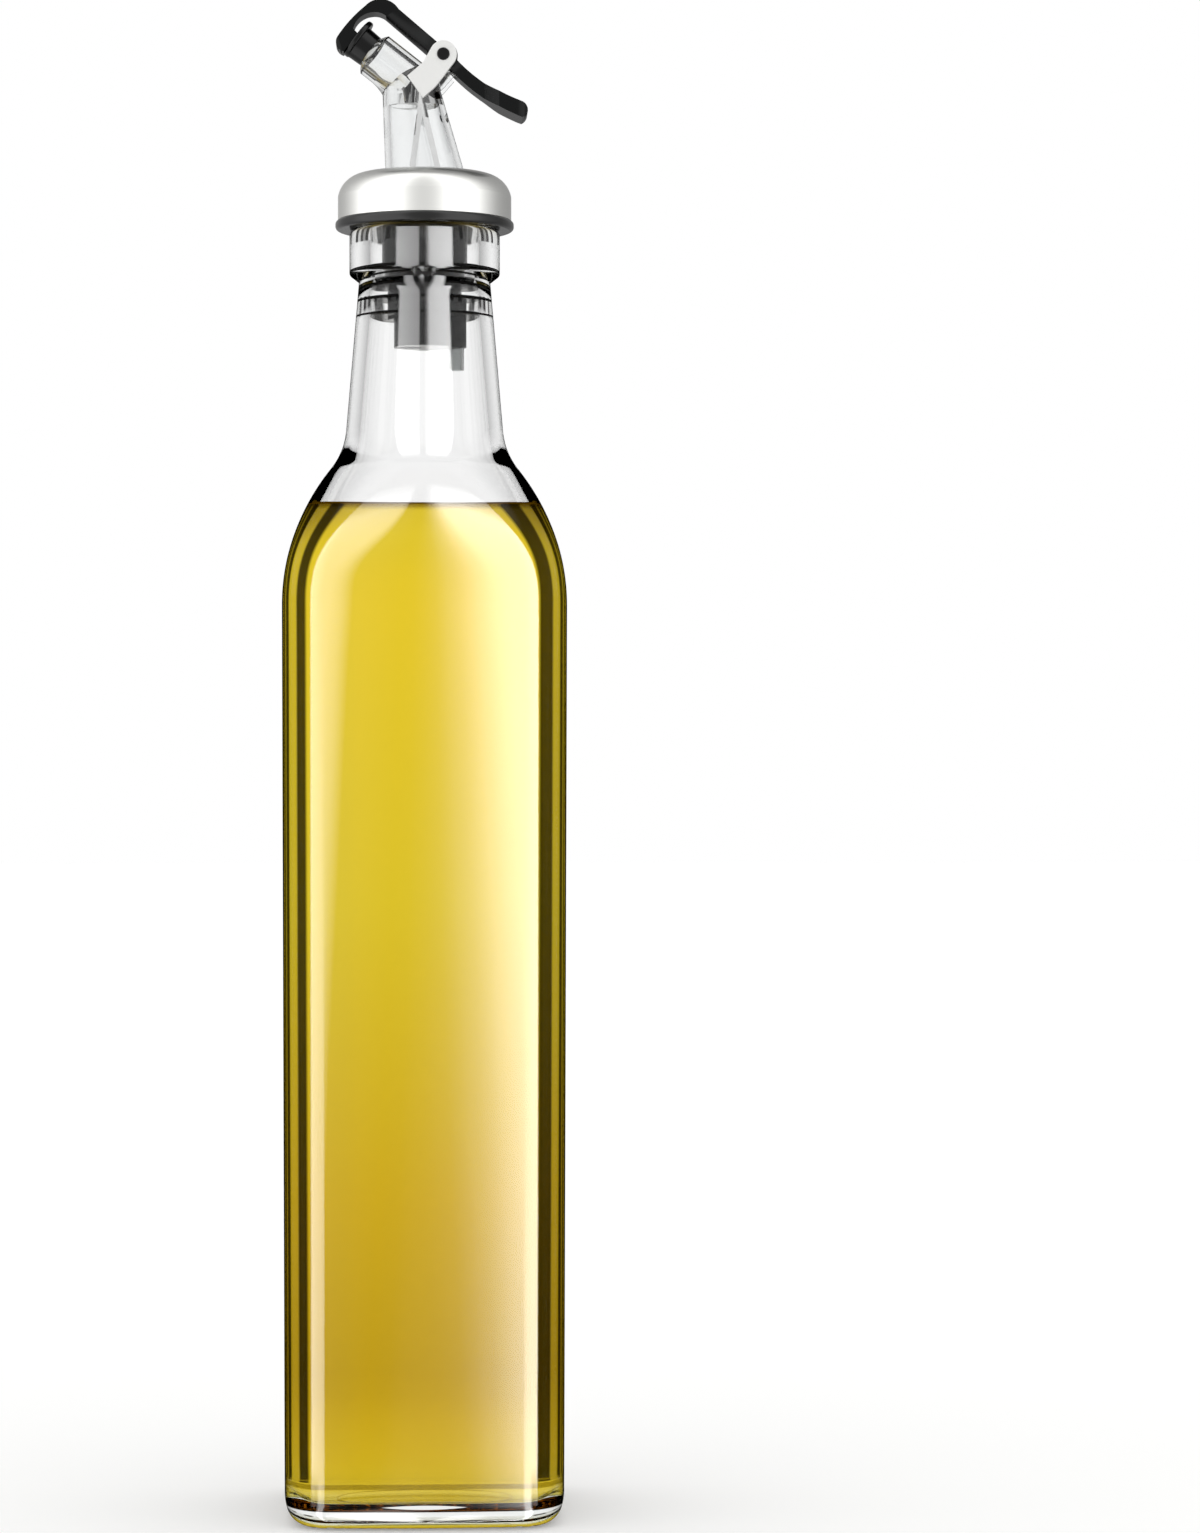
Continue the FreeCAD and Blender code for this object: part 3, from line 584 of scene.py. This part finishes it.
def heel_rings(z_at, inset_at, radius, upward):
    """Rings of the round between a level face at z_at and the wall at inset_at, as (z, inset) pairs."""
    sines, cosines = quarter_turn(HEEL_RINGS)
    pairs = [(z_at + radius * (1 - s), inset_at + radius * (1 - c)) for s, c in zip(sines, cosines)]
    return pairs[::-1] if upward else pairs


class BOTTLE_OT_glass(bpy.types.Operator):
    """Make the glass: underside, body, shoulder, neck, collar and cavity in one mesh"""
    bl_idname = "bottle.glass"
    bl_label = "Glass bottle"

    def execute(self, context):
        rings = []
        # Underside: dome, recess, bearing ring.
        dome_r = (RING_INNER_R ** 2 + DOME_RISE ** 2) / (2 * DOME_RISE)
        dome_z = RING_DEPTH + DOME_RISE - dome_r
        for radius in np.linspace(NEARLY_CLOSED, RING_INNER_R, DOME_RINGS):
            rings.append(circle_ring(radius, dome_z + math.sqrt(dome_r ** 2 - radius ** 2)))
        rings.append(circle_ring(RING_INNER_R, RING_DEPTH * 0.5))
        rings.append(circle_ring(RING_INNER_R, 0.0))
        heel_end = glass_ring(0.0, HEEL_R, drop=0.0)
        start = circle_ring(RING_INNER_R, 0.0)
        for share in np.linspace(0, 1, BEARING_RINGS)[1:-1]:
            rings.append(self.knurled(start + (heel_end - start) * share))
        # The underside and the first rings of the heel mirror in painted gold.
        painted_gold_rings = len(rings) + PAINTED_GOLD_HEEL_RINGS
        # Heel, body, shoulder and neck.
        for z, inset in heel_rings(0.0, 0.0, HEEL_R, True)[1:]:
            rings.append(self.knurled(glass_ring(0.0, inset, drop=z)))
        for z in heights_between(HEEL_R, SHOULDER_Z, BODY_STEP)[1:]:
            rings.append(glass_ring(z, 0))
        for z in heights_between(SHOULDER_Z, FILLET_END_Z, CURVE_STEP)[1:]:
            rings.append(glass_ring(z, 0))
        for z in heights_between(FILLET_END_Z, NECK_TOP_Z, NECK_STEP)[1:]:
            rings.append(circle_ring(half_width(z), z))
        # Collar with eased edges, lip and bore.
        slope = np.array([COLLAR_R - NECK_TOP_R, COLLAR_LOW_Z - NECK_TOP_Z])
        slope = slope / np.linalg.norm(slope)
        rings.append(circle_ring(NECK_TOP_R + CREASE * slope[0], NECK_TOP_Z + CREASE * slope[1]))
        for share in np.linspace(0, 1, COLLAR_FOOT_RINGS):
            angle = math.radians(-60 + 60 * share)
            rings.append(circle_ring(COLLAR_R - COLLAR_EDGE_R * (1 - math.cos(angle)),
                                     COLLAR_LOW_Z + COLLAR_FOOT_RISE + COLLAR_EDGE_R * math.sin(angle)))
        wall_low = COLLAR_LOW_Z + COLLAR_WALL_RISE
        for z in heights_between(wall_low, GLASS_TOP - COLLAR_EDGE_R, COLLAR_STEP)[1:]:
            rings.append(circle_ring(COLLAR_R, z))
        sines, cosines = quarter_turn(COLLAR_EDGE_RINGS)
        for s, c in zip(sines[1:], cosines[1:]):
            rings.append(circle_ring(COLLAR_R - COLLAR_EDGE_R * (1 - c),
                                     GLASS_TOP - COLLAR_EDGE_R * (1 - s)))
        for radius in np.linspace(COLLAR_R - COLLAR_EDGE_R, MOUTH_R + LIP_R, LIP_RINGS)[1:]:
            rings.append(circle_ring(radius, GLASS_TOP))
        rings.append(circle_ring(MOUTH_R + LIP_EASE, GLASS_TOP - LIP_EASE))
        bore_z = NECK_TOP_Z + (NECK_TOP_R - WALL - MOUTH_R) / NECK_TAPER
        for z in heights_between(bore_z, GLASS_TOP - LIP_R, BORE_STEP)[::-1]:
            rings.append(circle_ring(MOUTH_R, z))
        for z in heights_between(FILLET_END_Z, bore_z, BORE_STEP)[::-1][1:]:
            rings.append(circle_ring(half_width(z) - WALL, z))
        for z in heights_between(OIL_HIGH.z, FILLET_END_Z, CURVE_STEP)[::-1][1:]:
            rings.append(glass_ring(z, WALL))
        level_ring = len(rings) - 1
        for z in heights_between(SHOULDER_Z, OIL_HIGH.z, CURVE_STEP)[::-1][1:]:
            rings.append(glass_ring(z, WALL))
        for z in heights_between(FLOOR + INNER_HEEL_R, SHOULDER_Z, BODY_STEP)[::-1][1:]:
            rings.append(glass_ring(z, WALL))
        for z, inset in heel_rings(FLOOR, WALL, INNER_HEEL_R, False)[1:]:
            rings.append(glass_ring(FLOOR + INNER_HEEL_R, inset, drop=z))
        last = rings[-1]
        for share in np.linspace(1, NEARLY_CLOSED, CAVITY_FLOOR_RINGS)[1:]:
            rings.append(last * np.array([share, share, 1]))
        mesh = lathe_mesh("glass_bottle_form", rings, closed=False, touching=(level_ring, len(rings)),
                          painted_gold_rings=painted_gold_rings)
        cap_ends(mesh, len(rings), GLASS_AROUND)
        place("glass", mesh, "bottle", "bottle_glass", flint_glass(), "glass_bottle")
        return {"FINISHED"}

    def knurled(self, ring):
        """The ring with round notches pressed up into the edge of the bearing ring."""
        x, y = ring[:, 0], ring[:, 1]
        flat = RING_OUTER - (CORNER_R - (BASE_HALF - RING_OUTER))
        radius = RING_OUTER - flat
        ax, ay = np.abs(x), np.abs(y)
        swap = ay > ax
        u, v = np.where(swap, ay, ax), np.where(swap, ax, ay)
        in_corner = (u > flat) & (v > flat)
        corner_off = np.hypot(u - flat, v - flat)
        off = np.where(in_corner, corner_off - radius, u - RING_OUTER)
        angle = np.where(in_corner, np.arctan2(v - flat, u - flat), 0.0)
        run = np.where(in_corner, flat + radius * angle, v)
        quarter = 2 * flat + radius * math.pi / 2
        count = round(quarter / KNURL_PITCH)
        pitch = quarter / count
        # Stations are half a pitch from the start of each side, which the mirrored run keeps.
        near = np.abs((run + flat) % pitch - pitch / 2)
        notch = np.sqrt(np.maximum(KNURL_R ** 2 - near ** 2, 0))
        inside = np.clip((KNURL_HALF_RUN - np.abs(off)) / KNURL_FADE, 0, 1)
        lifted = ring.copy()
        lifted[:, 2] = np.maximum(ring[:, 2], notch * inside)
        return lifted


def cap_ends(mesh, ring_count, around):
    """Closes the tiny loops that a lathed mesh starts and ends with."""
    form = bmesh.new()
    form.from_mesh(mesh)
    form.verts.ensure_lookup_table()
    first = [form.verts[i] for i in range(around)]
    last = [form.verts[(ring_count - 1) * around + i] for i in range(around)]
    for loop in (first[::-1], last):
        face = form.faces.new(loop)
        face.smooth = True
    form.to_mesh(mesh)
    form.free()


class BOTTLE_OT_oil(bpy.types.Operator):
    """Make the oil: the cavity up to the oil's level, reaching just into the wall, with a meniscus"""
    bl_idname = "bottle.oil"
    bl_label = "Oil"

    def execute(self, context):
        settings = context.scene.bottle_oil
        inset = WALL - settings.wall_overlap
        around = GLASS_AROUND // 2
        edge_z = OIL_HIGH.z
        level = edge_z - settings.meniscus_rise
        low = FLOOR - settings.wall_overlap
        rings = []
        heel = INNER_HEEL_R + settings.wall_overlap
        pairs = heel_rings(low, inset, heel, True)
        first = glass_ring(low + heel, pairs[0][1], around, drop=low)
        for share in np.linspace(NEARLY_CLOSED, 1, OIL_FLOOR_RINGS)[:-1]:
            rings.append(first * np.array([share, share, 1]))
        for z, shift in pairs:
            rings.append(glass_ring(low + heel, shift, around, drop=z))
        for z in heights_between(low + heel, SHOULDER_Z, BODY_STEP)[1:]:
            rings.append(glass_ring(z, inset, around))
        for z in heights_between(SHOULDER_Z, edge_z, CURVE_STEP)[1:]:
            rings.append(glass_ring(z, inset, around))
        wall_rings = len(rings) - 1
        for depth in MENISCUS_ZONE * np.linspace(0, 1, MENISCUS_RINGS)[1:] ** 2:
            rise = settings.meniscus_rise * math.exp(-depth / settings.meniscus_reach)
            rings.append(glass_ring(edge_z, inset + depth, around, drop=level + rise))
        last = rings[-1]
        for share in np.linspace(1, NEARLY_CLOSED, OIL_TOP_RINGS)[1:]:
            rings.append(np.concatenate([last[:, :2] * share, np.full((around, 1), level)], 1))
        mesh = lathe_mesh("oil_form", rings, closed=False, touching=(0, wall_rings))
        cap_ends(mesh, len(rings), around)
        place("oil_fill", mesh, "bottle", "golden_oil", golden_oil(), "oil")
        return {"FINISHED"}


class BOTTLE_OT_pourer(bpy.types.Operator):
    """Finish the pourer's pieces: stopper, tube, cap, spout, ears, pin, lever and plug"""
    bl_idname = "bottle.pourer"
    bl_label = "Pourer"

    def execute(self, context):
        ears = white_plastic()
        finishes = {
            "stopper": stopper_rubber(),
            "vent_tube": tube_plastic(),
            "metal_cap": brushed_steel(),
            "spout": clear_plastic(),
            "pivot_ear_front": ears,
            "pivot_ear_back": ears,
            "pivot_pin": pin_plastic(),
            "lever": lever_plastic(),
            "nozzle_plug": plug_silicone(),
        }
        for node, material in finishes.items():
            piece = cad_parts[node]
            piece.data.materials.clear()
            piece.data.materials.append(material)
        self.seat_fins(finishes["stopper"])
        self.smooth_lever(finishes["lever"])
        return {"FINISHED"}

    def smooth_lever(self, material):
        """The lever with its curved faces shaded smooth, as moulded, and its edges kept."""
        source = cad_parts["lever"]
        form = bmesh.new()
        form.from_mesh(source.data)
        form.transform(source.matrix_world)
        bmesh.ops.remove_doubles(form, verts=form.verts, dist=MERGE_WITHIN * MM)
        mesh = bpy.data.meshes.new("lever_form")
        form.to_mesh(mesh)
        form.free()
        mesh.shade_smooth()
        mesh.set_sharp_from_angle(angle=math.radians(SHARP_FROM))
        place("lever_moulding", mesh, "lever_arm", "lever_plastic", material, "lever")

    def seat_fins(self, material):
        """Fin edges pressed against the glass, so that the fins show out to its full width."""
        # Places from the bore's wall outwards and from the fin's lower face upwards.
        profile = [(-FIN_ROOT, 0.05), (0.02, 0.1), (FIN_PRESS, 0.3), (FIN_PRESS, 0.5),
                   (0.02, FIN_THICK - 0.1), (-FIN_ROOT, FIN_THICK - 0.05)]
        for i in range(FIN_COUNT):
            low = STOPPER_LOW.z + FIN_START + i * FIN_PITCH
            rings = [circle_ring(MOUTH_R + out, low + up, GLASS_AROUND // 4) for out, up in profile]
            mesh = lathe_mesh("fin_edge_form", rings)
            place(f"fin_edge_{i}", mesh, "bottle", "stopper_rubber", material)


class BOTTLE_OT_stage(bpy.types.Operator):
    """Set the floor, the studio light and the camera"""
    bl_idname = "bottle.stage"
    bl_label = "Stage"

    def execute(self, context):
        settings = context.scene.bottle_stage
        self.make_floor()
        self.make_world(settings)
        self.make_camera(context, settings)
        context.scene.view_settings.view_transform = "Standard"
        return {"FINISHED"}

    def make_floor(self):
        """Plain pale floor that keeps the bottle's shadow."""
        mesh = bpy.data.meshes.new("floor_form")
        corners = [(x * FLOOR_HALF, y * FLOOR_HALF, 0) for x, y in ((-1, -1), (1, -1), (1, 1), (-1, 1))]
        mesh.from_pydata(corners, [], [(0, 1, 2, 3)])
        floor = bpy.data.objects.new("floor", mesh)
        bpy.context.scene.collection.objects.link(floor)
        # Glass and metal see the studio round the floor, which goes on below it.
        floor.visible_glossy = False
        floor.visible_transmission = False
        material, tree, shader = new_material(
            "painted_floor", Base_Color=to_linear("#E9E9E8"), Roughness=0.9, IOR=1.5,
            Emission_Color=WHITE)
        path = add_node(tree, "ShaderNodeLightPath")
        lift = add_node(tree, "ShaderNodeMath", {"operation": "MULTIPLY"},
                        [(path.outputs["Is Camera Ray"], 0), (FLOOR_LIFT, 1)])
        tree.links.new(lift.outputs["Value"], shader.inputs["Emission Strength"])
        floor.data.materials.append(material)

    def make_world(self, settings):
        """White studio, whose dark flags and bright panels only the bottle sees, by direction."""
        world = bpy.data.worlds.new("studio")
        bpy.context.scene.world = world
        world.use_nodes = True
        tree = world.node_tree
        tree.nodes.clear()
        where = add_node(tree, "ShaderNodeTexCoord")
        parts = add_node(tree, "ShaderNodeSeparateXYZ", None, [(where.outputs["Generated"], "Vector")])
        rise = add_node(tree, "ShaderNodeMath", {"operation": "ARCSINE"}, [(parts.outputs["Z"], 0)])
        elevation = rise.outputs["Value"]
        path = add_node(tree, "ShaderNodeLightPath")
        through = self.seen_through(tree, parts, elevation)
        panels = self.seen_in_glass(tree, parts, elevation, settings.panel_light)
        softboxes = self.by_angle(tree, self.azimuth(tree, parts, -1.0), 180, MIRRORED_METAL)
        softboxes = add_node(tree, "ShaderNodeMix", COLOUR_TIMES,
                             [(1.0, SHARE), (softboxes, FIRST), (grey(METAL_PANEL_LIGHT), SECOND)])
        # Only the glass is as sharp as a mirror: the brushed and moulded pieces see the softboxes.
        mirrored = add_node(tree, "ShaderNodeMix", COLOUR_MIX,
                            [(path.outputs["Is Singular Ray"], SHARE), (softboxes.outputs[RESULT], FIRST),
                             (panels, SECOND)])
        # A ray through clear glass counts as mirrored too, so the later choice wins.
        seen = WHITE
        for ray, light in (("Is Glossy Ray", mirrored.outputs[RESULT]), ("Is Transmission Ray", through),
                           ("Is Camera Ray", WHITE)):
            choice = add_node(tree, "ShaderNodeMix", COLOUR_MIX,
                              [(path.outputs[ray], SHARE), (seen, FIRST), (light, SECOND)])
            seen = choice.outputs[RESULT]
        light = add_node(tree, "ShaderNodeBackground", None, [(seen, "Color")],
                         Strength=settings.background_light)
        add_node(tree, "ShaderNodeOutputWorld", None, [(light.outputs["Background"], "Surface")])

    def azimuth(self, tree, parts, ahead):
        """Angle in radians, positive towards +X. It is 0 to the back for ahead 1, to the front for -1."""
        depth = add_node(tree, "ShaderNodeMath", {"operation": "MULTIPLY"},
                         [(parts.outputs["Y"], 0), (ahead, 1)])
        turn = add_node(tree, "ShaderNodeMath", {"operation": "ARCTAN2"},
                        [(parts.outputs["X"], 0), (depth.outputs["Value"], 1)])
        return turn.outputs["Value"]

    def by_angle(self, tree, angle, span, stops):
        """Light by an angle in radians: stops are (degrees, level or colour) pairs from -span to span."""
        share = add_node(tree, "ShaderNodeMath", {"operation": "MULTIPLY_ADD"},
                         [(angle, 0), (0.5 / math.radians(span), 1), (0.5, 2)])
        places = [(0.5 + 0.5 * degrees / span, light) for degrees, light in stops]
        ramp = add_node(tree, "ShaderNodeValToRGB", None, [(share.outputs["Value"], "Fac")], places)
        return ramp.outputs["Color"]

    def seen_through(self, tree, parts, elevation):
        """Light that passes the glass: the body's wall between its flags, and the neck's surroundings."""
        behind = self.azimuth(tree, parts, 1.0)
        folded = add_node(tree, "ShaderNodeMath", {"operation": "WRAP"},
                          [(behind, 0), (math.pi / 4, 1), (-math.pi / 4, 2)])
        flags = add_node(tree, "ShaderNodeMix", COLOUR_MIX, [
            (self.by_angle(tree, elevation, 90, FLAGS_FADE), SHARE),
            (self.by_angle(tree, folded.outputs["Value"], 45, THROUGH_BODY), FIRST),
            (grey(FLAGS_FADED_TO), SECOND)])
        body = add_node(tree, "ShaderNodeMix", COLOUR_TIMES, [
            (1.0, SHARE),
            (flags.outputs[RESULT], FIRST),
            (self.by_angle(tree, elevation, 90, THROUGH_HEIGHT), SECOND)])
        through = add_node(tree, "ShaderNodeMix", COLOUR_MIX, [
            (self.by_angle(tree, elevation, 90, NECK_FROM), SHARE),
            (body.outputs[RESULT], FIRST),
            (self.by_angle(tree, behind, 180, THROUGH_NECK), SECOND)])
        return through.outputs[RESULT]

    def seen_in_glass(self, tree, parts, elevation, panel_light):
        """Light that the glass mirrors: panels that lean outwards low down, so that their edges slant."""
        front = self.azimuth(tree, parts, -1.0)
        sharp = add_node(tree, "ShaderNodeMath", {"operation": "MULTIPLY"},
                         [(front, 0), (PANEL_HAND_SHARPNESS, 1)])
        hand = add_node(tree, "ShaderNodeMath", {"operation": "TANH"}, [(sharp.outputs["Value"], 0)])
        low = add_node(tree, "ShaderNodeMath", {"operation": "MINIMUM"},
                       [(parts.outputs["Z"], 0), (PANEL_LEAN_TOP, 1)])
        slant = add_node(tree, "ShaderNodeMath", {"operation": "MULTIPLY"},
                         [(low.outputs["Value"], 0), (hand.outputs["Value"], 1)])
        lean = add_node(tree, "ShaderNodeMath", {"operation": "MULTIPLY_ADD"},
                        [(slant.outputs["Value"], 0), (PANEL_LEAN, 1), (front, 2)]).outputs["Value"]
        panels = add_node(tree, "ShaderNodeMix", COLOUR_MIX, [
            (self.by_angle(tree, elevation, 90, PANELS_WIDEN), SHARE),
            (self.by_angle(tree, lean, 180, MIRRORED_LOW), FIRST),
            (self.by_angle(tree, lean, 180, MIRRORED_WIDE), SECOND)])
        faded = add_node(tree, "ShaderNodeMix", COLOUR_MIX, [
            (self.by_angle(tree, elevation, 90, PANELS_FADE), SHARE),
            (panels.outputs[RESULT], FIRST),
            (grey(PANELS_FADED_TO), SECOND)])
        mirrored = add_node(tree, "ShaderNodeMix", COLOUR_TIMES,
                            [(1.0, SHARE), (faded.outputs[RESULT], FIRST), (grey(panel_light), SECOND)])
        return mirrored.outputs[RESULT]

    def make_camera(self, context, settings):
        """Level camera a little above the middle of the bottle, panned towards the empty side."""
        lens = bpy.data.cameras.new("camera")
        lens.lens = CAMERA_LENS
        lens.sensor_width = CAMERA_SENSOR
        lens.clip_start = 0.01
        camera = bpy.data.objects.new("camera", lens)
        context.scene.collection.objects.link(camera)
        camera.location = (0, -settings.camera_distance, CAMERA_HEIGHT)
        camera.rotation_euler = (math.radians(90), 0, math.radians(CAMERA_PAN))
        context.scene.camera = camera


class BOTTLE_PT_panel(bpy.types.Panel):
    """Lists the bottle's pieces in the sidebar"""
    bl_idname = "BOTTLE_PT_panel"
    bl_label = "Oil and vinegar bottle"
    bl_space_type = "VIEW_3D"
    bl_region_type = "UI"
    bl_category = "Bottle"

    def draw(self, context):
        """Settings first, then one button per operator."""
        for group in (context.scene.bottle_oil, context.scene.bottle_stage):
            for key in group.__annotations__:
                self.layout.prop(group, key)
        for operator in OPERATORS:
            self.layout.operator(operator.bl_idname)


OPERATORS = (BOTTLE_OT_glass, BOTTLE_OT_oil, BOTTLE_OT_pourer, BOTTLE_OT_stage)
CLASSES = (BottleOilSettings, BottleStageSettings) + OPERATORS + (BOTTLE_PT_panel,)


def register():
    """Register the classes and attach the settings to the scene."""
    for item in CLASSES:
        bpy.utils.register_class(item)
    bpy.types.Scene.bottle_oil = bpy.props.PointerProperty(type=BottleOilSettings)
    bpy.types.Scene.bottle_stage = bpy.props.PointerProperty(type=BottleStageSettings)


def unregister():
    """Remove what register added."""
    del bpy.types.Scene.bottle_stage
    del bpy.types.Scene.bottle_oil
    for item in reversed(CLASSES):
        bpy.utils.unregister_class(item)


def main():
    """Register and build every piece."""
    register()
    for operator in OPERATORS:
        area, name = operator.bl_idname.split(".")
        getattr(getattr(bpy.ops, area), name)()


if __name__ == "__main__":
    main()
